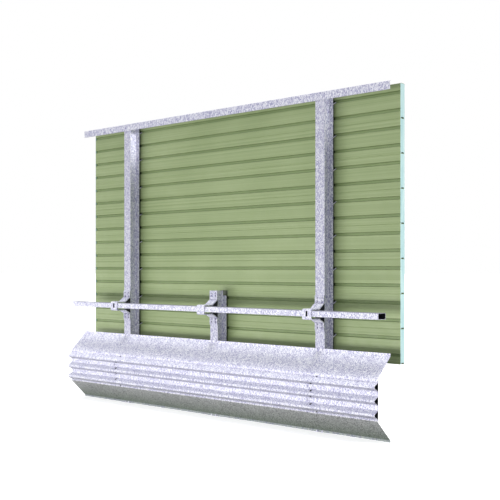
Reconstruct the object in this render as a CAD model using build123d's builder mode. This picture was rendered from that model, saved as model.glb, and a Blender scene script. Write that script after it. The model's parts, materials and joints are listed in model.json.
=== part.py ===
from build123d import *
from math import atan2, tan
import os

os.makedirs("parts", exist_ok=True)

# Layout in millimetres: X runs along the barrier, Y points away from the traffic, Z is up.
# The origin is on the ground under the middle post, at the centre of its section.
bay_length = 2250
end_overhang = 1265
seat_clearance = 0.3
joint_gap = 3

# H-section posts on foot plates
post_width = 175
post_depth = 207
flange_thickness = 12
web_thickness = 8
root_radius = 12
post_top_drop = 8
cope_height = 85
foot_width = 350
foot_length = 300
foot_thickness = 25
foot_corner = 15
anchor_spacing_x = 260
anchor_spacing_y = 200
anchor_hole_radius = 16.5

# Acoustic panels, stacked from the shelf upwards
panel_bottom = 1080
panel_height = 500
panel_count = 8
panel_thickness = 100
panel_standoff = 43
groove_opening = 52
groove_floor = 36
groove_depth = 24
rear_rib_opening = 90
rear_rib_floor = 70
rear_rib_depth = 8
joint_bevel = 4
tongue_width = 60
tongue_height = 6
socket_height = 22
cap_thickness = 3
cap_gap = 2
cap_notch_width = 66

# Vertical channels, hooks and shelves that carry the panels on the tall posts
channel_crown = 90
channel_foot = 34
channel_thickness = 4
channel_bend = 7
hook_bar = 10
hook_drop = 33
hook_reach = 30
shelf_width = 160
shelf_thickness = 10
shelf_drop = 150

# Top rail, a shallow folded channel
rail_height = 120
rail_depth = 16
rail_thickness = 4
rail_bend = 7

# Tube rail and the bent brackets that wrap it
tube_depth = 180
tube_height = 90
tube_wall = 5
tube_corner = 10
tube_centre_height = 1782
tube_splice_gap = 32
sleeve_length = 300
sleeve_wall = 5
sleeve_clearance = 0.5
bracket_thickness = 15
bracket_nose_bend = 15
bracket_flank_bend = 28
bracket_top_room = 11
bracket_bottom_room = 31
bracket_nose_standoff = 298.5
upper_flank_rise = 85
lower_flank_drop = 66
flank_run = 118
tab_height = 120
middle_tab_height = 157
splice_slot_width = 36

# Three-wave beam, lapped at the tall posts
beam_thickness = 3
beam_pitch = 194
beam_waves = 3
wave_depth = 82
wave_half_base = 60
wave_half_crest = 12
wave_bend = 18
beam_lip = 22
beam_centre_height = 618
beam_standoff = 300
lap_before_post = 150
lap_after_post = 45
backing_thickness = 3
spare_slot_after_lap = 48
spare_slot_from_valley = 54
spare_slot_width = 30
spare_slot_height = 24

# Sloping plates above and below the beam
plate_thickness = 4
plate_bend = 9
upper_bend_room = 23
upper_slope_rise = 297
upper_lip = 40
lower_bend_room = 8
lower_slope_drop = 300
lower_lip = 28
skin_edge_clearance = 2

# Six-sided spacers between posts and beams
spacer_height = 300
spacer_end_width = 110
spacer_middle_width = 175
spacer_wall = 5

# Sizes that follow from the ones above
tall_post_x = bay_length
section_length = 2 * (bay_length + end_overhang)
post_front = -post_depth / 2
post_back = post_depth / 2
seat_front = post_front - seat_clearance
panel_front = post_back + panel_standoff
panel_back = panel_front + panel_thickness
panel_middle = (panel_front + panel_back) / 2
panel_top = panel_bottom + panel_count * panel_height
tall_post_height = panel_top - post_top_drop
panel_body_length = section_length - 2 * cap_thickness
groove_heights = [panel_height / 4, panel_height * 3 / 4]
layer_pitch = beam_thickness + seat_clearance
beam_back = post_front - beam_standoff
skin_back = beam_back - 3 * layer_pitch
wave_reach = (beam_waves - 1) / 2 * beam_pitch + wave_half_base
beam_top = beam_centre_height + wave_reach
beam_bottom = beam_centre_height - wave_reach
wave_turn = atan2(wave_depth, wave_half_base - wave_half_crest)
skin_edge_room = wave_bend * tan(wave_turn / 2) + skin_edge_clearance
nose_back = post_front - bracket_nose_standoff
tube_front = nose_back + seat_clearance
tube_back = tube_front + tube_depth
tube_middle = (tube_front + tube_back) / 2
bracket_inner_top = tube_centre_height + tube_height / 2 + bracket_top_room
bracket_inner_bottom = tube_centre_height - tube_height / 2 - bracket_bottom_room
upper_tab_bottom = bracket_inner_top + upper_flank_rise
middle_post_height = upper_tab_bottom + middle_tab_height


def save(piece, name):
    """Labels a finished piece and writes its STEP file."""
    piece.part.label = name
    export_step(piece.part, f"parts/{name}.step")


def folded_sheet(outline, bend, thickness, start, length, layer_offset=0):
    """A folded sheet along X: it lies on the left of a Y-Z outline, from layer_offset outwards.
    The bend is one radius for all corners, or a list with one for each."""
    with BuildPart() as sheet:
        with BuildSketch(Plane.YZ.offset(start)):
            with BuildLine():
                FilletPolyline(*outline, radius=bend)
                offset(amount=layer_offset + thickness, side=Side.LEFT)
            make_face()
            if layer_offset:
                with BuildLine():
                    FilletPolyline(*outline, radius=bend)
                    offset(amount=layer_offset, side=Side.LEFT)
                make_face(mode=Mode.SUBTRACT)
        extrude(amount=length)
    return sheet


# Posts, each an H-section welded to its foot plate
def build_post(centre_x, height, cope=0):
    with BuildPart() as post:
        with BuildSketch(Plane((centre_x, 0, 0))):
            with Locations((0, post_front + foot_length / 2)):
                RectangleRounded(foot_width, foot_length, foot_corner)
                with GridLocations(anchor_spacing_x, anchor_spacing_y, 2, 2):
                    Circle(anchor_hole_radius, mode=Mode.SUBTRACT)
        extrude(amount=foot_thickness)
        with BuildSketch(Plane((centre_x, 0, foot_thickness))):
            Rectangle(web_thickness, post_depth)
            for side in (-1, 1):
                with Locations((0, side * (post_depth - flange_thickness) / 2)):
                    Rectangle(post_width, flange_thickness)
            inner_corner_y = post_depth / 2 - flange_thickness
            roots = [v for v in vertices()
                     if abs(abs(v.Y) - inner_corner_y) < 0.01 and abs(v.X) < web_thickness]
            fillet(roots, root_radius)
        extrude(amount=height - foot_thickness)
        if cope:
            with BuildSketch(Plane((centre_x, 0, height))):
                with Locations((0, (post_depth - flange_thickness) / 2)):
                    Rectangle(post_width, flange_thickness)
            extrude(amount=-cope, mode=Mode.SUBTRACT)
    return post


left_post = build_post(-tall_post_x, tall_post_height)
save(left_post, "left_post")
right_post = build_post(tall_post_x, tall_post_height)
save(right_post, "right_post")
middle_post = build_post(0, middle_post_height, cope=cope_height)
save(middle_post, "middle_post")


# Acoustic panels: grooved cassettes with a tongue on top, a socket below and flat end caps
def channel_points(face_y, inward, height, opening, floor, depth):
    """Corners of a trapezoid channel in one face of a panel's cross-section."""
    return (
        (face_y, height - opening / 2),
        (face_y + inward * depth, height - floor / 2),
        (face_y + inward * depth, height + floor / 2),
        (face_y, height + opening / 2),
    )


def build_panel(bottom):
    with BuildPart() as panel:
        with BuildSketch(Plane.YZ.offset(-panel_body_length / 2)):
            with Locations((panel_middle, bottom + panel_height / 2)):
                Rectangle(panel_thickness, panel_height)
            chamfer(vertices(), joint_bevel)
            with Locations((panel_middle, bottom + socket_height / 2)):
                Rectangle(tongue_width + 2 * seat_clearance, socket_height, mode=Mode.SUBTRACT)
            with Locations((panel_middle, bottom + panel_height + tongue_height / 2)):
                Rectangle(tongue_width, tongue_height)
            for groove in groove_heights:
                front = channel_points(panel_front, 1, bottom + groove, groove_opening, groove_floor,
                                       groove_depth)
                Polygon(*front, align=None, mode=Mode.SUBTRACT)
                rear = channel_points(panel_back, -1, bottom + groove, rear_rib_opening, rear_rib_floor,
                                      rear_rib_depth)
                Polygon(*rear, align=None, mode=Mode.SUBTRACT)
        extrude(amount=panel_body_length)
    return panel


def build_end_caps(side):
    start_x = side * panel_body_length / 2
    with BuildPart() as caps:
        with BuildSketch(Plane.YZ.offset(start_x)):
            for index in range(panel_count):
                bottom = panel_bottom + index * panel_height
                with Locations((panel_middle, bottom + panel_height / 2)):
                    Rectangle(panel_thickness, panel_height - cap_gap)
                with Locations((panel_middle, bottom + socket_height / 2)):
                    Rectangle(cap_notch_width, socket_height, mode=Mode.SUBTRACT)
        extrude(amount=side * cap_thickness)
    return caps


for index in range(panel_count):
    panel = build_panel(panel_bottom + index * panel_height)
    save(panel, f"noise_panel_{index + 1}")
for name, side in (("left", -1), ("right", 1)):
    end_caps = build_end_caps(side)
    save(end_caps, f"{name}_panel_caps")


# Panel carriers on each tall post: an omega channel, a shelf and hooks into the grooves
def build_panel_channel(centre_x):
    crown_y = panel_front - seat_clearance
    foot_y = post_back + seat_clearance
    half_crown = channel_crown / 2
    half_width = half_crown + channel_foot
    with BuildPart() as channel:
        with BuildSketch(Plane((centre_x, 0, panel_bottom))):
            with BuildLine():
                FilletPolyline(
                    (half_width, foot_y + channel_thickness),
                    (half_crown, foot_y + channel_thickness),
                    (half_crown, crown_y),
                    (-half_crown, crown_y),
                    (-half_crown, foot_y + channel_thickness),
                    (-half_width, foot_y + channel_thickness),
                    radius=channel_bend,
                )
                offset(amount=channel_thickness, side=Side.LEFT)
            make_face()
        extrude(amount=tall_post_height - panel_bottom)
    return channel


def build_shelf(centre_x):
    shelf_top = panel_bottom - seat_clearance
    leg_front = post_back + seat_clearance
    with BuildPart() as shelf:
        with BuildSketch(Plane.YZ.offset(centre_x - shelf_width / 2)):
            with BuildLine():
                Polyline(
                    (leg_front, shelf_top),
                    (leg_front, shelf_top - shelf_drop),
                    (leg_front + shelf_thickness, shelf_top - shelf_drop),
                    (leg_front + shelf_thickness, shelf_top - shelf_thickness),
                    (panel_back, shelf_top - shelf_thickness),
                    (panel_back, shelf_top),
                    close=True,
                )
            make_face()
        extrude(amount=shelf_width)
        with BuildSketch(Plane.YZ.offset(centre_x - shelf_thickness / 2)):
            with BuildLine():
                Polyline(
                    (leg_front + shelf_thickness, shelf_top - shelf_thickness),
                    (leg_front + shelf_thickness, shelf_top - shelf_drop),
                    (panel_back, shelf_top - shelf_thickness),
                    close=True,
                )
            make_face()
        extrude(amount=shelf_thickness)
    return shelf


def build_panel_hooks(centre_x):
    flange_face = post_back - flange_thickness - seat_clearance
    edge_x = post_width / 2 + seat_clearance
    groove_face = panel_front + groove_depth - seat_clearance
    with BuildPart() as hooks:
        for index in range(panel_count):
            groove_z = panel_bottom + index * panel_height + groove_heights[1]
            foot_z = groove_z - hook_drop
            for side in (-1, 1):
                with BuildSketch(Plane.YZ.offset(centre_x + side * edge_x)):
                    with BuildLine():
                        Polyline(
                            (flange_face - hook_bar, foot_z - hook_bar),
                            (post_back, foot_z - hook_bar),
                            (groove_face, groove_z - hook_bar / 2),
                            (groove_face, groove_z + hook_bar / 2),
                            (post_back, foot_z),
                            (flange_face - hook_bar, foot_z),
                            close=True,
                        )
                    make_face()
                extrude(amount=side * hook_bar)
                hook_end = centre_x + side * (edge_x - hook_reach)
                with BuildSketch(Plane.YZ.offset(hook_end)):
                    with Locations((flange_face - hook_bar / 2, foot_z - hook_bar / 2)):
                        Rectangle(hook_bar, hook_bar)
                extrude(amount=side * hook_reach)
    return hooks


for name, side in (("left", -1), ("right", 1)):
    panel_channel = build_panel_channel(side * tall_post_x)
    save(panel_channel, f"{name}_panel_channel")
    panel_shelf = build_shelf(side * tall_post_x)
    save(panel_shelf, f"{name}_panel_shelf")
    panel_hooks = build_panel_hooks(side * tall_post_x)
    save(panel_hooks, f"{name}_panel_hooks")


# Top rail across the front of the tall posts, level with the top of the panels
rail_outline = [
    (seat_front, panel_top),
    (seat_front - rail_depth, panel_top),
    (seat_front - rail_depth, panel_top - rail_height),
    (seat_front, panel_top - rail_height),
]
top_rail = folded_sheet(rail_outline, rail_bend, rail_thickness, -section_length / 2, section_length)
save(top_rail, "top_rail")


# Tube rail in three lengths, with a sleeve inside each splice
def build_tube(start, length, depth, height, wall, corner):
    with BuildPart() as tube:
        with BuildSketch(Plane.YZ.offset(start)):
            with Locations((tube_middle, tube_centre_height)):
                RectangleRounded(depth, height, corner)
                RectangleRounded(depth - 2 * wall, height - 2 * wall, corner - wall / 2,
                                 mode=Mode.SUBTRACT)
        extrude(amount=length)
    return tube


splice_edge = tall_post_x - tube_splice_gap / 2
outer_tube_length = section_length / 2 - tall_post_x - tube_splice_gap / 2
tube_spans = {
    "left": (-section_length / 2, outer_tube_length),
    "middle": (-splice_edge, 2 * splice_edge),
    "right": (tall_post_x + tube_splice_gap / 2, outer_tube_length),
}
for name, (start, length) in tube_spans.items():
    rail_tube = build_tube(start, length, tube_depth, tube_height, tube_wall, tube_corner)
    save(rail_tube, f"{name}_rail_tube")

sleeve_inset = 2 * (tube_wall + sleeve_clearance)
for name, side in (("left", -1), ("right", 1)):
    sleeve_start = side * tall_post_x - sleeve_length / 2
    rail_sleeve = build_tube(sleeve_start, sleeve_length, tube_depth - sleeve_inset,
                             tube_height - sleeve_inset, sleeve_wall, tube_corner - tube_wall / 2)
    save(rail_sleeve, f"{name}_rail_sleeve")


# Bent brackets: tab, flank, shelf, nose, shelf, flank and tab, as wide as a post
def build_bracket(centre_x, upper_tab_height, slotted):
    flank_front = seat_front - flank_run
    lower_tab_top = bracket_inner_bottom - lower_flank_drop
    outline = [
        (seat_front, lower_tab_top - tab_height),
        (seat_front, lower_tab_top),
        (flank_front, bracket_inner_bottom),
        (nose_back, bracket_inner_bottom),
        (nose_back, bracket_inner_top),
        (flank_front, bracket_inner_top),
        (seat_front, upper_tab_bottom),
        (seat_front, upper_tab_bottom + upper_tab_height),
    ]
    flank_bends = [bracket_flank_bend] * 2
    bends = [*flank_bends, bracket_nose_bend, bracket_nose_bend, *flank_bends]
    folded = folded_sheet(outline, bends, bracket_thickness, centre_x - post_width / 2, post_width)
    with BuildPart() as bracket:
        add(folded.part)
        if slotted:
            with BuildSketch(Plane.XZ.offset(-nose_back)):
                with Locations((centre_x, tube_centre_height)):
                    Rectangle(splice_slot_width, tube_height - 2 * tube_wall)
            extrude(amount=2 * bracket_thickness, both=True, mode=Mode.SUBTRACT)
    return bracket


left_bracket = build_bracket(-tall_post_x, tab_height, slotted=True)
save(left_bracket, "left_tube_bracket")
middle_bracket = build_bracket(0, middle_tab_height, slotted=False)
save(middle_bracket, "middle_tube_bracket")
right_bracket = build_bracket(tall_post_x, tab_height, slotted=True)
save(right_bracket, "right_tube_bracket")


# Three-wave beam: each length laps over the front of the next, so its layer steps forward
beam_outline = [(beam_back, beam_bottom - beam_lip)]
for wave in range(beam_waves):
    crest_height = beam_bottom + wave_half_base + wave * beam_pitch
    beam_outline += [
        (beam_back, crest_height - wave_half_base),
        (beam_back - wave_depth, crest_height - wave_half_crest),
        (beam_back - wave_depth, crest_height + wave_half_crest),
        (beam_back, crest_height + wave_half_base),
    ]
beam_outline.append((beam_back, beam_top + beam_lip))

lap_ends = {
    "left": (-section_length / 2, -tall_post_x + lap_after_post),
    "middle": (-tall_post_x - lap_before_post, tall_post_x + lap_after_post),
    "right": (tall_post_x - lap_before_post, section_length / 2),
}
beam_layers = {"left": 2, "middle": 1, "right": 0}
spare_slot_x = {
    "middle": lap_ends["left"][1] + spare_slot_after_lap,
    "right": lap_ends["middle"][1] + spare_slot_after_lap,
}
for name, (start, end) in lap_ends.items():
    sheet = folded_sheet(beam_outline, wave_bend, beam_thickness, start, end - start,
                         beam_layers[name] * layer_pitch)
    with BuildPart() as wave_beam:
        add(sheet.part)
        if name in spare_slot_x:
            with BuildSketch(Plane.XZ.offset(-beam_back)):
                with Locations((spare_slot_x[name], beam_centre_height)):
                    with GridLocations(1, beam_pitch, 1, beam_waves - 1):
                        with GridLocations(1, 2 * spare_slot_from_valley, 1, 2):
                            SlotOverall(spare_slot_width, spare_slot_height)
            extrude(amount=2 * wave_depth, mode=Mode.SUBTRACT)
    save(wave_beam, f"{name}_wave_beam")

# Flat sheets that close the beams behind, butted where a beam comes to lie behind the next
backing_ends = {
    "left": (lap_ends["left"][0], lap_ends["middle"][0] - joint_gap),
    "middle": (lap_ends["middle"][0], lap_ends["right"][0] - joint_gap),
    "right": lap_ends["right"],
}
backing_backs = {}
for name, (start, end) in backing_ends.items():
    backing_front = beam_back - beam_layers[name] * layer_pitch + seat_clearance
    backing_backs[name] = backing_front + backing_thickness
    with BuildPart() as beam_backing:
        with BuildSketch(Plane.YZ.offset(start)):
            with Locations((backing_front + backing_thickness / 2, beam_centre_height)):
                Rectangle(backing_thickness, 2 * (wave_reach + beam_lip))
        extrude(amount=end - start)
    save(beam_backing, f"{name}_beam_backing")

# Sloping plates, one length a bay, that lean on the posts and cover the beam's edges
upper_bend_height = beam_top + beam_lip + upper_bend_room
upper_outline = [
    (skin_back, beam_top + skin_edge_room),
    (skin_back, upper_bend_height),
    (seat_front, upper_bend_height + upper_slope_rise),
    (seat_front, upper_bend_height + upper_slope_rise + upper_lip),
]
lower_bend_height = beam_bottom - beam_lip - lower_bend_room
lower_outline = [
    (seat_front, lower_bend_height - lower_slope_drop - lower_lip),
    (seat_front, lower_bend_height - lower_slope_drop),
    (skin_back, lower_bend_height),
    (skin_back, beam_bottom - skin_edge_room),
]
plate_ends = {
    "left": (-section_length / 2, -tall_post_x - joint_gap / 2),
    "middle": (-tall_post_x + joint_gap / 2, tall_post_x - joint_gap / 2),
    "right": (tall_post_x + joint_gap / 2, section_length / 2),
}
for name, (start, end) in plate_ends.items():
    upper_plate = folded_sheet(upper_outline, plate_bend, plate_thickness, start, end - start)
    save(upper_plate, f"{name}_upper_plate")
    lower_plate = folded_sheet(lower_outline, plate_bend, plate_thickness, start, end - start)
    save(lower_plate, f"{name}_lower_plate")


# Spacers: six-sided tubes, open above and below, from each post to the beam's backing there
def build_spacer(centre_x, front):
    back = seat_front
    half_end = spacer_end_width / 2
    half_middle = spacer_middle_width / 2
    middle = (front + back) / 2
    with BuildPart() as spacer:
        with BuildSketch(Plane((centre_x, 0, beam_centre_height - spacer_height / 2))):
            with BuildLine():
                Polyline(
                    (-half_end, front),
                    (half_end, front),
                    (half_middle, middle),
                    (half_end, back),
                    (-half_end, back),
                    (-half_middle, middle),
                    close=True,
                )
            make_face()
            offset(amount=-spacer_wall, kind=Kind.INTERSECTION, mode=Mode.SUBTRACT)
        extrude(amount=spacer_height)
    return spacer


spacer_places = {"left": (-tall_post_x, "middle"), "middle": (0, "middle"), "right": (tall_post_x, "right")}
for name, (centre_x, backing) in spacer_places.items():
    beam_spacer = build_spacer(centre_x, backing_backs[backing] + seat_clearance)
    save(beam_spacer, f"{name}_beam_spacer")
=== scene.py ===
import json
import math

import bmesh
import bpy
from mathutils import Matrix, Vector


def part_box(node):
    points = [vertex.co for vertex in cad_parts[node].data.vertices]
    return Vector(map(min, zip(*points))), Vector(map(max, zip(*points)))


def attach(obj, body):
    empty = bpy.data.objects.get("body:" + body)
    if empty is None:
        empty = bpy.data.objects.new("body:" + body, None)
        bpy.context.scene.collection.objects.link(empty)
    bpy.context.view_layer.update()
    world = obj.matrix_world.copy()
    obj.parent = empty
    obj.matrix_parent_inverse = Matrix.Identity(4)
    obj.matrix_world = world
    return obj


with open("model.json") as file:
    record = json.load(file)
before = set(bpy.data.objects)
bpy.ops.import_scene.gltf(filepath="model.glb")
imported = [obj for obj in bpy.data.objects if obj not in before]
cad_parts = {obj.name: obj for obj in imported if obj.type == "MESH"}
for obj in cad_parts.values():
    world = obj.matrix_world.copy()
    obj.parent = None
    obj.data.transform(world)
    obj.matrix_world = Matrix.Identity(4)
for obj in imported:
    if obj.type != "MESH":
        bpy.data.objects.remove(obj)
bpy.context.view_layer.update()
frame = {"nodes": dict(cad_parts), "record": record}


# Places that come from the frame

def middleOf(part):
    low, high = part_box(part)
    return (low + high) / 2


sideNames = ("left", "middle", "right")
lapNames = ("left", "right")  # the tall posts, where tube and beam are joined
postCentre = {sideName: middleOf(f"{sideName}_tube_bracket").x for sideName in sideNames}
wavePitch = 0.194
beamMiddle = middleOf("middle_beam_backing").z
valleys = (beamMiddle - wavePitch / 2, beamMiddle + wavePitch / 2)
forward = Vector((0, -1, 0))
upward = Vector((0, 0, 1))


# Shader maths on sockets

class Wire:
    def __init__(self, tree, socket):
        self.tree = tree
        self.socket = socket

    def maths(self, operation, first, second):
        return self.tree.add("ShaderNodeMath", {"operation": operation}, {0: first, 1: second})

    def __add__(self, other):
        return self.maths("ADD", self, other)

    def __radd__(self, other):
        return self.maths("ADD", other, self)

    def __sub__(self, other):
        return self.maths("SUBTRACT", self, other)

    def __rsub__(self, other):
        return self.maths("SUBTRACT", other, self)

    def __mul__(self, other):
        return self.maths("MULTIPLY", self, other)

    def __rmul__(self, other):
        return self.maths("MULTIPLY", other, self)

    def __gt__(self, other):
        return self.maths("GREATER_THAN", self, other)

    def __lt__(self, other):
        return self.maths("LESS_THAN", self, other)

    def __abs__(self):
        return self.maths("ABSOLUTE", self, 0.0)

    def within(self, low, high):
        return (self > low) * (self < high)


class Tree:
    def __init__(self, owner):
        owner.use_nodes = True
        self.owner = owner
        self.nodes = owner.node_tree.nodes
        self.links = owner.node_tree.links
        self.nodes.clear()

    def add(self, kind, settings=None, values=None, out=0):
        node = self.nodes.new(kind)
        for key, value in (settings or {}).items():
            setattr(node, key, value)
        for key, value in (values or {}).items():
            if isinstance(value, Wire):
                self.links.new(value.socket, node.inputs[key])
            else:
                node.inputs[key].default_value = value
        return Wire(self, node.outputs[out]) if node.outputs else None

    def place(self, scale=(1, 1, 1)):
        objectPlace = self.add("ShaderNodeTexCoord", out="Object")
        return self.add("ShaderNodeMapping", {}, {"Vector": objectPlace, "Scale": scale})

    def part(self, vector, axis):
        return self.add("ShaderNodeSeparateXYZ", {}, {"Vector": vector}, out=axis)

    def axes(self):
        place = self.place()
        return [self.part(place, axis) for axis in "XYZ"]

    def noise(self, place, pattern):
        return self.add("ShaderNodeTexNoise", {}, {"Vector": place, **pattern})

    def span(self, value, low, high, start=0.0, end=1.0):
        return self.add("ShaderNodeMapRange", {"interpolation_type": "SMOOTHSTEP"},
                        {"Value": value, "From Min": low, "From Max": high, "To Min": start, "To Max": end})

    def mix(self, factor, first, second, blend="MIX"):
        return self.add("ShaderNodeMix", {"data_type": "RGBA", "blend_type": blend},
                        {0: factor, 6: first, 7: second}, out=2)

    def bump(self, height, distance, strength):
        return self.add("ShaderNodeBump", {}, {"Height": height, "Distance": distance, "Strength": strength})

    def finish(self, values):
        shader = self.add("ShaderNodeBsdfPrincipled", {}, values)
        self.add("ShaderNodeOutputMaterial", {}, {"Surface": shader})
        return self.owner


# Hot-dip zinc: upright spangle cells about a centimetre wide, a grain as fine, and soft clouds

zincLook = {
    "dark": (0.34, 0.33, 0.53, 1),
    "pale": (0.955, 0.95, 0.99, 1),
    "stretch": (1.0, 1.0, 0.5),
    "cellScale": 80.0,
    "cellShare": 0.7,
    "grain": {"Scale": 105.0, "Detail": 3.0, "Roughness": 0.65},
    "grainShare": 3.0,
    "cloud": {"Scale": 6.0, "Detail": 4.0, "Roughness": 0.6},
    "cloudShare": 0.4,
    "darkening": 1.50,
    "smooth": 0.46,
    "dull": 0.66,
    "dullRange": (0.2, 1.2),
    "dullCloud": 0.5,
    "relief": 0.0005,
    "reliefCell": 0.4,
    "reliefStrength": 0.5,
}


def addZincTone(tree, look):
    place = tree.place(look["stretch"])
    cell = tree.add("ShaderNodeTexVoronoi", {"feature": "F1"},
                    {"Vector": place, "Scale": look["cellScale"], "Randomness": 1.0}, out="Color")
    cellTone = tree.part(cell, "X")
    grain = tree.noise(place, look["grain"])
    cloud = tree.noise(tree.place(), look["cloud"])
    mixed = cellTone * look["cellShare"] + grain * look["grainShare"] + cloud * look["cloudShare"]
    tone = tree.span(mixed - look["darkening"], 0.0, 1.0)
    rough = tree.span(cellTone + cloud * look["dullCloud"], *look["dullRange"], look["smooth"], look["dull"])
    relief = tree.bump(grain + cellTone * look["reliefCell"], look["relief"], look["reliefStrength"])
    return tone, rough, relief


def makeZinc():
    look = {
        **zincLook,
        "metallic": 0.12,
        "shine": 0.3,
        # Painted shade: near black for hidden recesses, and darker tones where less light falls
        "hiddenShade": (0.035, 0.035, 0.045, 1),
        "frontShade": (0.79, 0.79, 0.80, 1),
        "railShade": (0.88, 0.88, 0.89, 1),
        "boltShade": (0.62, 0.62, 0.66, 1),
        "topShade": (0.42, 0.42, 0.44, 1),
        "waveShade": (0.76, 0.76, 0.77, 1),
        "skin": 0.0002,
        "railGap": 0.0003,
        "tabHeight": 0.12,
        "boltReach": 0.025,
        "tubeWall": 0.0045,
        "tubeTop": 0.004,
        "slotHalf": 0.0183,
        "slotDepth": 0.030,
        "slopeStart": 0.012,
        "slopeEnd": 0.060,
        "slopeFade": 0.012,
    }
    skin = look["skin"]
    tree = Tree(bpy.data.materials.new("zincCoat"))
    tone, rough, relief = addZincTone(tree, look)
    along, across, height = tree.axes()

    # Painted shade on the posts' fronts, the rail on them and the tabs' bolts, and near-black painted shade
    # on the faces behind the brackets
    bracketLow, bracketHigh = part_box("left_tube_bracket")
    railLow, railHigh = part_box("top_rail")
    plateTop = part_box("middle_upper_plate")[1].z
    postFace = railHigh.y + look["railGap"]
    lowerTab = bracketLow.z + look["tabHeight"]
    upperTab = bracketHigh.z - look["tabHeight"]
    onFront = across.within(railLow.y - skin, postFace + skin) * (height > plateTop)
    onRail = onFront * (height > railLow.z - skin)
    onTab = (height > upperTab) + (height < lowerTab)
    onBolt = across.within(railLow.y - look["boltReach"], railLow.y + skin) * onTab
    onBolt = onBolt * height.within(plateTop, bracketHigh.z + skin)
    behindBracket = across.within(postFace - skin, postFace + skin)
    behindBracket = behindBracket * height.within(lowerTab, upperTab)

    # Painted shade on the tube's top, and near-black painted shade inside the tube and in the slots in the
    # noses over its splices
    tubeLow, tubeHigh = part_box("left_rail_tube")
    wall = look["tubeWall"]
    onTop = across.within(tubeLow.y - skin, tubeHigh.y + skin)
    onTop = onTop * height.within(tubeHigh.z - look["tubeTop"], tubeHigh.z + skin)
    betweenWalls = height.within(tubeLow.z + wall, tubeHigh.z - wall)
    inTube = across.within(tubeLow.y + wall, tubeHigh.y - wall) * betweenWalls
    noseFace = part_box("right_tube_bracket")[0].y
    inSlots = 0.0
    for sideName in lapNames:
        inSlots = inSlots + (abs(along - postCentre[sideName]) < look["slotHalf"])
    inSlots = inSlots * across.within(noseFace + skin, noseFace + look["slotDepth"]) * betweenWalls

    # Painted shade on the beam's slopes that face down, by how far they lie below a crest
    beamLow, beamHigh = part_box("middle_beam_backing")
    drop = tree.add("ShaderNodeMath", {"operation": "WRAP"}, {0: beamMiddle - height, 1: wavePitch, 2: 0.0})
    under = tree.span(drop, look["slopeStart"], look["slopeStart"] + look["slopeFade"])
    under = under * tree.span(drop, look["slopeEnd"] - look["slopeFade"], look["slopeEnd"], 1.0, 0.0)
    under = under * (across < beamLow.y) * height.within(beamLow.z, beamHigh.z)

    colour = tree.mix(tone, look["dark"], look["pale"])
    # The painted shades are multiplied in, then near-black painted shade goes in the hidden recesses
    shades = {"frontShade": onFront - onRail, "railShade": onRail, "waveShade": under,
              "boltShade": onBolt, "topShade": onTop}
    for shade, mask in shades.items():
        colour = tree.mix(mask, colour, look[shade], "MULTIPLY")
    colour = tree.mix(behindBracket + inTube + inSlots, colour, look["hiddenShade"])
    return tree.finish({
        "Base Color": colour,
        "Metallic": look["metallic"],
        "Specular IOR Level": look["shine"],
        "Roughness": rough,
        "Normal": relief,
    })


# Zinc soiled by spray and painted with green-tinted shade: grey-green on the lower plates' slope,
# deepest low down, lighter on the lower lip and clean on the upper one

def makeSplashZincAndShade():
    look = {
        **zincLook,
        "metallic": 0.05,
        "shine": 0.25,
        "darkSoilAndShade": (0.17, 0.175, 0.175, 1),
        "paleSoilAndShade": (0.61, 0.61, 0.62, 1),
        "deepSoilAndShade": (0.42, 0.50, 0.40, 1),
        "lipSoilAndShade": (0.52, 0.57, 0.50, 1),
        "lowerLip": 0.028,
        "upperLip": 0.018,
        "lipFade": 0.010,
    }
    low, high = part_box("right_lower_plate")
    slopeLow = low.z + look["lowerLip"]
    slopeHigh = high.z - look["upperLip"]
    tree = Tree(bpy.data.materials.new("splashAndShadeCoat"))
    tone, rough, relief = addZincTone(tree, look)
    height = tree.part(tree.place(), "Z")
    aboveLip = tree.span(height, slopeLow, slopeLow + look["lipFade"])
    onSlope = aboveLip * tree.span(height, slopeHigh, slopeHigh + look["lipFade"], 1.0, 0.0)
    clean = tree.mix(tone, look["dark"], look["pale"])
    # Spray soil and painted shade on the lower lip
    clean = tree.mix(1.0 - aboveLip, clean, look["lipSoilAndShade"], "MULTIPLY")
    soilAndShade = tree.mix(tone, look["darkSoilAndShade"], look["paleSoilAndShade"])
    # Darker and greener towards the bottom: spray soil and painted shade
    downward = tree.add("ShaderNodeMapRange", {}, {"Value": height, "From Min": slopeHigh,
                                                   "From Max": slopeLow, "To Min": 0.0, "To Max": 1.0})
    soilAndShade = tree.mix(downward, soilAndShade, tree.mix(1.0, soilAndShade, look["deepSoilAndShade"], "MULTIPLY"))
    return tree.finish({
        "Base Color": tree.mix(onSlope, clean, soilAndShade),
        "Metallic": look["metallic"],
        "Specular IOR Level": look["shine"],
        "Roughness": rough,
        "Normal": relief,
    })


# Sage green coating on the panels: faint drawn lines along the sheet, painted shade in the grooves, and
# painted shade beside each post on the front

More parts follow.
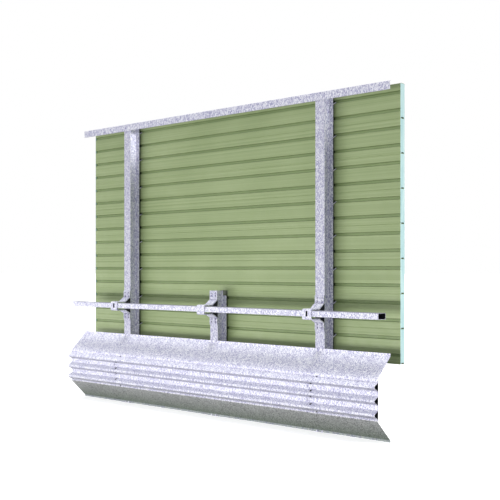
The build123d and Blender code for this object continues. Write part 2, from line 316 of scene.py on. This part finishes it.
def makePanelGreen():
    look = {
        "sage": (0.305, 0.380, 0.176, 1),
        "deepSage": (0.243, 0.315, 0.133, 1),
        "paleSage": (0.380, 0.456, 0.231, 1),
        "grooveShade": (0.66, 0.71, 0.60, 1),
        "grooveDepth": (0.007, 0.012),
        "gapShade": (0.22, 0.22, 0.24, 1),
        "gapReach": 0.030,
        "lineStretch": (0.05, 0.05, 34.0),
        "line": {"Scale": 1.0, "Detail": 4.0, "Roughness": 0.65},
        "lineShare": 0.75,
        "cloud": {"Scale": 0.9, "Detail": 3.0, "Roughness": 0.5},
        "cloudShare": 0.35,
        "toneRange": (0.35, 0.80),
        "dust": {"Scale": 7.0, "Detail": 5.0, "Roughness": 0.65},
        "dustRange": (0.35, 0.75),
        "dustMost": 0.35,
        "dullRange": (0.3, 0.7),
        "smooth": 0.42,
        "dull": 0.60,
        "relief": 0.0012,
        "reliefStrength": 0.5,
    }
    tree = Tree(bpy.data.materials.new("panelCoat"))
    along, across, height = tree.axes()
    line = tree.noise(tree.place(look["lineStretch"]), look["line"])
    cloud = tree.noise(tree.place(), look["cloud"])
    dust = tree.noise(tree.place(), look["dust"])
    tone = tree.span(line * look["lineShare"] + cloud * look["cloudShare"], *look["toneRange"])
    colour = tree.mix(tone, look["deepSage"], look["paleSage"])
    dusty = tree.span(dust, *look["dustRange"], 0.0, look["dustMost"])
    colour = tree.mix(dusty, colour, look["sage"])
    low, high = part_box("noise_panel_1")
    panelMiddle = (low.y + high.y) / 2
    depth = (high.y - low.y) / 2 - abs(across - panelMiddle)
    # Painted shade in the grooves
    colour = tree.mix(tree.span(depth, *look["grooveDepth"]), colour, look["grooveShade"], "MULTIPLY")
    besidePosts = 0.0
    for sideName in sideNames:
        low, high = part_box(f"{sideName}_tube_bracket")
        halfWidth = (high.x - low.x) / 2
        beside = tree.span(abs(along - postCentre[sideName]), halfWidth - look["gapReach"], halfWidth,
                           1.0, 0.0)
        if sideName == "middle":
            beside = beside * (height < high.z)  # the middle post ends at its bracket's top
        besidePosts = besidePosts + beside
    onFront = across < panelMiddle
    # Painted shade beside the posts, on the front only
    colour = tree.mix(besidePosts * onFront, colour, look["gapShade"], "MULTIPLY")
    return tree.finish({
        "Base Color": colour,
        "Roughness": tree.span(dust, *look["dullRange"], look["smooth"], look["dull"]),
        "Normal": tree.bump(line, look["relief"], look["reliefStrength"]),
    })


# Pale blue-green end caps with soft upright streaks

def makePanelEnd():
    look = {
        "pale": (0.66, 0.90, 0.87, 1),
        "soiled": (0.50, 0.76, 0.76, 1),
        "stretch": (14.0, 14.0, 1.6),
        "streak": {"Scale": 1.0, "Detail": 4.0, "Roughness": 0.5},
        "soiledRange": (0.35, 0.7),
        "dullRange": (0.3, 0.7),
        "smooth": 0.38,
        "dull": 0.55,
    }
    tree = Tree(bpy.data.materials.new("endCapCoat"))
    streak = tree.noise(tree.place(look["stretch"]), look["streak"])
    return tree.finish({
        "Base Color": tree.mix(tree.span(streak, *look["soiledRange"]), look["pale"], look["soiled"]),
        "Roughness": tree.span(streak, *look["dullRange"], look["smooth"], look["dull"]),
    })


# Near-black steel of the splice sleeves, backing sheets and plugs: painted shade in the slots, beam hollows
# and spare holes where they show

def makeShadeBlackSteel():
    look = {
        "dark": (0.010, 0.010, 0.012, 1),
        "worn": (0.035, 0.034, 0.036, 1),
        "grain": {"Scale": 60.0, "Detail": 4.0, "Roughness": 0.5},
        "wornRange": (0.4, 0.7),
        "dullRange": (0.3, 0.7),
        "smooth": 0.6,
        "dull": 0.8,
        "shine": 0.15,
        "relief": 0.0006,
        "reliefStrength": 0.5,
    }
    tree = Tree(bpy.data.materials.new("shadeBlackCoat"))
    grain = tree.noise(tree.place(), look["grain"])
    return tree.finish({
        "Base Color": tree.mix(tree.span(grain, *look["wornRange"]), look["dark"], look["worn"]),
        "Specular IOR Level": look["shine"],
        "Roughness": tree.span(grain, *look["dullRange"], look["smooth"], look["dull"]),
        "Normal": tree.bump(grain, look["relief"], look["reliefStrength"]),
    })


finishes = {
    "zinc": makeZinc(),
    "splash_zinc": makeSplashZincAndShade(),
    "panel_green": makePanelGreen(),
    "panel_end": makePanelEnd(),
    "sleeve_steel": makeShadeBlackSteel(),
}


def dress(piece, slot):
    piece.data.materials.clear()
    piece.data.materials.append(finishes[slot])


for part in frame["record"]["subparts"]:
    dress(frame["nodes"][part["node"]], part["material_slot"])
print("frame dressed:", len(frame["nodes"]), "nodes")


# Fasteners: a washer, a chamfered hexagon head and, where it shows, a stud end. Radii, heights and
# chamfers are shares of the bolt's size.

boltShape = {
    "washer": {"radius": 0.93, "height": 0.15, "chamfer": 0.04, "sides": 20},
    "head": {"radius": 0.86, "height": 0.64, "chamfer": 0.09, "sides": 6},
    "stud": {"radius": 0.5, "chamfer": 0.08, "sides": 12},
}
roundHead = {"around": 16, "up": 8}


def addDisc(mesh, seat, outward, radius, height, sides, chamfer=0.0):
    turn = outward.to_track_quat("Z", "Y").to_matrix().to_4x4()
    centre = seat + outward * height / 2
    made = bmesh.ops.create_cone(mesh, cap_ends=True, segments=sides, radius1=radius, radius2=radius,
                                 depth=height, matrix=Matrix.Translation(centre) @ turn)
    if chamfer:
        top = [v for v in made["verts"] if (v.co - centre).dot(outward) > 0]
        rim = dict.fromkeys(e for v in top for e in v.link_edges if all(end in top for end in e.verts))
        bmesh.ops.bevel(mesh, geom=list(rim), offset=chamfer, segments=2, profile=0.5, affect="EDGES",
                        material=-1)


def addBolt(mesh, seat, outward, size, studHeight=0.0):
    for shape in (boltShape["washer"], boltShape["head"]):
        height = size * shape["height"]
        addDisc(mesh, seat, outward, size * shape["radius"], height, shape["sides"], size * shape["chamfer"])
        seat = seat + outward * height
    if studHeight:
        shape = boltShape["stud"]
        addDisc(mesh, seat, outward, size * shape["radius"], studHeight, shape["sides"],
                size * shape["chamfer"])


def addRoundHead(mesh, seat, outward, radius, height):
    turn = outward.to_track_quat("Z", "Y").to_matrix().to_4x4()
    squash = Matrix.Diagonal((1, 1, height / radius, 1))
    bmesh.ops.create_uvsphere(mesh, u_segments=roundHead["around"], v_segments=roundHead["up"],
                              radius=radius, matrix=Matrix.Translation(seat) @ turn @ squash)


def finishPiece(mesh, name, slot, smooth=False):
    bmesh.ops.recalc_face_normals(mesh, faces=mesh.faces)
    data = bpy.data.meshes.new(name)
    mesh.to_mesh(data)
    mesh.free()
    for face in data.polygons:
        face.use_smooth = smooth
    piece = bpy.data.objects.new(name, data)
    bpy.context.scene.collection.objects.link(piece)
    dress(piece, slot)
    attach(piece, "root")


# Lip bolts of the upper and lower plates, beside each post's centre

plateBolts = {"size": 0.020, "lowerSize": 0.016, "apart": 0.100, "upperDrop": 0.020, "lowerRise": 0.014,
              "sheet": 0.004}

for sideName in sideNames:
    mesh = bmesh.new()
    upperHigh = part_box(f"{sideName}_upper_plate")[1]
    lowerLow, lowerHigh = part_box(f"{sideName}_lower_plate")
    for side in (-1, 1):
        along = postCentre[sideName] + side * plateBolts["apart"] / 2
        seat = Vector((along, upperHigh.y - plateBolts["sheet"], upperHigh.z - plateBolts["upperDrop"]))
        addBolt(mesh, seat, forward, plateBolts["size"])
        seat = Vector((along, lowerHigh.y - plateBolts["sheet"], lowerLow.z + plateBolts["lowerRise"]))
        addBolt(mesh, seat, forward, plateBolts["lowerSize"])
    finishPiece(mesh, f"{sideName}_plate_bolts", "zinc")
print("plate bolts made")

# Tab bolts of the brackets, in rows of two on each tab

tabBolts = {"size": 0.020, "rows": 2, "apart": 0.090, "rise": 0.053, "fromEnd": 0.038, "sheet": 0.015}

for sideName in sideNames:
    mesh = bmesh.new()
    low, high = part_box(f"{sideName}_tube_bracket")
    for endHeight, inward in ((low.z, 1), (high.z, -1)):
        for row in range(tabBolts["rows"]):
            height = endHeight + inward * (tabBolts["fromEnd"] + row * tabBolts["rise"])
            for side in (-1, 1):
                along = postCentre[sideName] + side * tabBolts["apart"] / 2
                addBolt(mesh, Vector((along, high.y - tabBolts["sheet"], height)), forward, tabBolts["size"])
    finishPiece(mesh, f"{sideName}_bracket_bolts", "zinc")
print("bracket bolts made")


# Where the beam's sheets lie: the right length is layer 0, the middle one laps over it as layer 1, and
# the left one laps over that as layer 2

beamSheet = {"thickness": 0.003, "layerPitch": 0.0033, "slopeNormal": (0.505, 0.863)}
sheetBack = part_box("right_wave_beam")[1].y


def valleyFace(layer):
    return sheetBack - layer * beamSheet["layerPitch"] - beamSheet["thickness"]


def slopeOutward(tilt):
    across, rise = beamSheet["slopeNormal"]
    return Vector((0, -across, -tilt * rise)).normalized()


# Beam bolts: one in each valley at the posts, and a column on the slopes left of each lap

beamBolts = {
    "layers": {"left": 2, "middle": 1, "right": 1},
    "washerRadius": 0.021,
    "washerHeight": 0.003,
    "radius": 0.017,
    "height": 0.010,
    "lapFromPost": -0.120,
    "lapHeight": 0.012,
    "fromValley": 0.050,
    "slopeFace": 0.0235,
}

for sideName in sideNames:
    mesh = bmesh.new()
    face = valleyFace(beamBolts["layers"][sideName])
    tilts = (-1, 1) if sideName in lapNames else ()
    for valley in valleys:
        seat = Vector((postCentre[sideName], face, valley))
        addDisc(mesh, seat, forward, beamBolts["washerRadius"], beamBolts["washerHeight"],
                boltShape["washer"]["sides"])
        seat = seat + forward * beamBolts["washerHeight"]
        addRoundHead(mesh, seat, forward, beamBolts["radius"], beamBolts["height"])
        for tilt in tilts:
            lapSeat = Vector((postCentre[sideName] + beamBolts["lapFromPost"], face - beamBolts["slopeFace"],
                              valley + tilt * beamBolts["fromValley"]))
            addRoundHead(mesh, lapSeat, slopeOutward(tilt), beamBolts["radius"], beamBolts["lapHeight"])
    finishPiece(mesh, f"{sideName}_beam_bolts", "zinc", smooth=True)
print("beam bolts made")

# Dark plugs in the spare slots right of each lap, on the slopes and on the lips: their near black is painted
# shade in the slots

beamPlugs = {"layers": {"left": 1, "right": 0}, "radius": 0.018, "height": 0.009, "fromPost": 0.093,
             "fromValley": 0.054, "slopeFace": 0.0285, "lipFromPost": 0.183, "lipFromMiddle": 0.265}

for sideName in lapNames:
    mesh = bmesh.new()
    face = valleyFace(beamPlugs["layers"][sideName])
    for valley in valleys:
        for tilt in (-1, 1):
            seat = Vector((postCentre[sideName] + beamPlugs["fromPost"], face - beamPlugs["slopeFace"],
                           valley + tilt * beamPlugs["fromValley"]))
            addRoundHead(mesh, seat, slopeOutward(tilt), beamPlugs["radius"], beamPlugs["height"])
    for side in (-1, 1):
        seat = Vector((postCentre[sideName] + beamPlugs["lipFromPost"], face,
                       beamMiddle + side * beamPlugs["lipFromMiddle"]))
        addRoundHead(mesh, seat, forward, beamPlugs["radius"], beamPlugs["height"])
    finishPiece(mesh, f"{sideName}_beam_plugs", "sleeve_steel", smooth=True)
print("beam plugs made")

# Anchor rods, nuts and washers on the foot plates

anchors = {"spacingX": 0.260, "spacingY": 0.200, "size": 0.030, "studHeight": 0.035, "plate": 0.025}

for sideName in sideNames:
    mesh = bmesh.new()
    footMiddle = middleOf(f"{sideName}_post")
    for sideX in (-1, 1):
        for sideY in (-1, 1):
            seat = Vector((footMiddle.x + sideX * anchors["spacingX"] / 2,
                           footMiddle.y + sideY * anchors["spacingY"] / 2, anchors["plate"]))
            addBolt(mesh, seat, upward, anchors["size"], anchors["studHeight"])
    finishPiece(mesh, f"{sideName}_anchor_nuts", "zinc")
print("anchor nuts made")


# Floor that the camera sees as white, with the object's shadow, and that is dark to what it lights

floorLook = {
    "size": 400.0,
    "dark": (0.06, 0.065, 0.055, 1),
    "white": (0.80, 0.80, 0.80, 1),
    "glow": (0.62, 0.62, 0.62, 1),
    "dull": 0.9,
}


def makeFloorLook(look):
    tree = Tree(bpy.data.materials.new("paleFloor"))
    seen = tree.add("ShaderNodeLightPath", out="Is Camera Ray")
    seen = seen + tree.add("ShaderNodeLightPath", out="Is Glossy Ray")
    return tree.finish({
        "Base Color": tree.mix(seen, look["dark"], look["white"]),
        "Roughness": look["dull"],
        "Specular IOR Level": 0.0,
        "Emission Color": tree.mix(seen, (0, 0, 0, 1), look["glow"]),
        "Emission Strength": 1.0,
    })


floorMesh = bmesh.new()
bmesh.ops.create_grid(floorMesh, x_segments=1, y_segments=1, size=floorLook["size"])
floorData = bpy.data.meshes.new("floor")
floorMesh.to_mesh(floorData)
floorMesh.free()
floor = bpy.data.objects.new("floor", floorData)
floor.data.materials.append(makeFloorLook(floorLook))
bpy.context.scene.collection.objects.link(floor)

# Soft sky for light, plain white where the camera looks past the object

sky = {"colour": (0.91, 0.93, 1.0, 1), "strength": 0.70, "back": (1, 1, 1, 1)}

world = bpy.data.worlds.new("studio")
bpy.context.scene.world = world
tree = Tree(world)
seen = tree.add("ShaderNodeLightPath", out="Is Camera Ray")
seen = seen + tree.add("ShaderNodeLightPath", out="Is Transmission Ray")
skyFill = tree.add("ShaderNodeBackground", {}, {"Color": sky["colour"], "Strength": sky["strength"]})
whiteBack = tree.add("ShaderNodeBackground", {}, {"Color": sky["back"], "Strength": 1.0})
shown = tree.add("ShaderNodeMixShader", {}, {0: seen, 1: skyFill, 2: whiteBack})
tree.add("ShaderNodeOutputWorld", {}, {"Surface": shown})


# Lights: a row of suns from the front left and slightly from below, one sun from above, soft lights
# near the front and the left end, one from behind on the right end, and one for each tall post's side

def lightTravel(azimuth, rise):
    level = math.cos(math.radians(rise))
    return Vector((math.sin(math.radians(azimuth)) * level, math.cos(math.radians(azimuth)) * level,
                   math.sin(math.radians(rise))))


keyLight = {"azimuths": (-3.0, 11.0, 25.0, 39.0), "rise": 14.0,
            "settings": {"energy": 0.40, "angle": 0.32}}
lamps = {
    "topLamp": {"kind": "SUN", "place": Vector((0, 0, 6)), "travel": Vector((0, 0, -1)),
                "settings": {"energy": 1.70, "angle": 0.21}},
    "nearLamp": {"kind": "AREA", "place": Vector((0, -4.2, 0.5)), "travel": Vector((0, 1, 0.1)),
                 "settings": {"energy": 48.0, "shape": "RECTANGLE", "size": 7.0, "size_y": 0.6}},
    "spillLamp": {"kind": "AREA", "place": Vector((-4.8, -1.6, 1.45)), "travel": Vector((1.7, 1.75, 0.05)),
                  "settings": {"energy": 6.0, "size": 0.4}},
    "rightPostLamp": {"kind": "AREA", "place": Vector((6.5, -0.55, 5.2)), "travel": Vector((-4.3, 0.5, 0.2)),
                      "settings": {"energy": 5.0, "size": 0.4, "spread": 0.6}, "lights": "right_post"},
    "leftPostLamp": {"kind": "AREA", "place": Vector((6.5, -0.75, 5.2)), "travel": Vector((-8.75, 0.8, 0.4)),
                     "settings": {"energy": 16.0, "size": 0.4, "spread": 0.35}, "lights": "left_post"},
    "endLamp": {"kind": "AREA", "place": Vector((11.0, 3.0, 2.6)), "travel": Vector((-7.5, -2.8, 0.0)),
                "settings": {"energy": 385.0, "size": 1.5}},
}
for number, azimuth in enumerate(keyLight["azimuths"]):
    travel = lightTravel(azimuth, keyLight["rise"])
    lamps[f"keyLamp{number}"] = {"kind": "SUN", "place": -travel, "travel": travel,
                                 "settings": keyLight["settings"]}

passesFloor = bpy.data.collections.new("passesFloor")  # no lamp is blocked by the floor
passesFloor.objects.link(floor)
passesFloor.collection_objects[0].light_linking.link_state = "EXCLUDE"
for lampName, lamp in lamps.items():
    lampData = bpy.data.lights.new(lampName, lamp["kind"])
    for setting, value in lamp["settings"].items():
        setattr(lampData, setting, value)
    lampPiece = bpy.data.objects.new(lampName, lampData)
    lampPiece.light_linking.blocker_collection = passesFloor
    if "lights" in lamp:
        litPart = bpy.data.collections.new(f"{lampName}Lights")
        litPart.objects.link(frame["nodes"][lamp["lights"]])
        lampPiece.light_linking.receiver_collection = litPart
    bpy.context.scene.collection.objects.link(lampPiece)
    lampPiece.location = lamp["place"]
    lampPiece.rotation_mode = "QUATERNION"
    lampPiece.rotation_quaternion = lamp["travel"].to_track_quat("-Z", "Y")

# Camera as solved from the photograph: level, with its horizon shifted into place

cameraView = {"place": (10.922, -10.900, 2.433), "tilt": 90.0, "azimuth": 43.1, "focalPixels": 924.1,
              "horizonRow": 269.4, "imageSize": 500, "sensorWidth": 36.0, "reach": 1000.0}

cameraData = bpy.data.cameras.new("camera")
cameraData.sensor_width = cameraView["sensorWidth"]
cameraData.lens = cameraView["focalPixels"] / cameraView["imageSize"] * cameraView["sensorWidth"]
cameraData.shift_y = (cameraView["horizonRow"] - cameraView["imageSize"] / 2) / cameraView["imageSize"]
cameraData.clip_end = cameraView["reach"]
camera = bpy.data.objects.new("camera", cameraData)
camera.location = cameraView["place"]
camera.rotation_euler = (math.radians(cameraView["tilt"]), 0, math.radians(cameraView["azimuth"]))
bpy.context.scene.collection.objects.link(camera)
bpy.context.scene.camera = camera
bpy.context.scene.view_settings.view_transform = "Standard"
print("floor, lights and camera set")

bpy.context.view_layer.update()
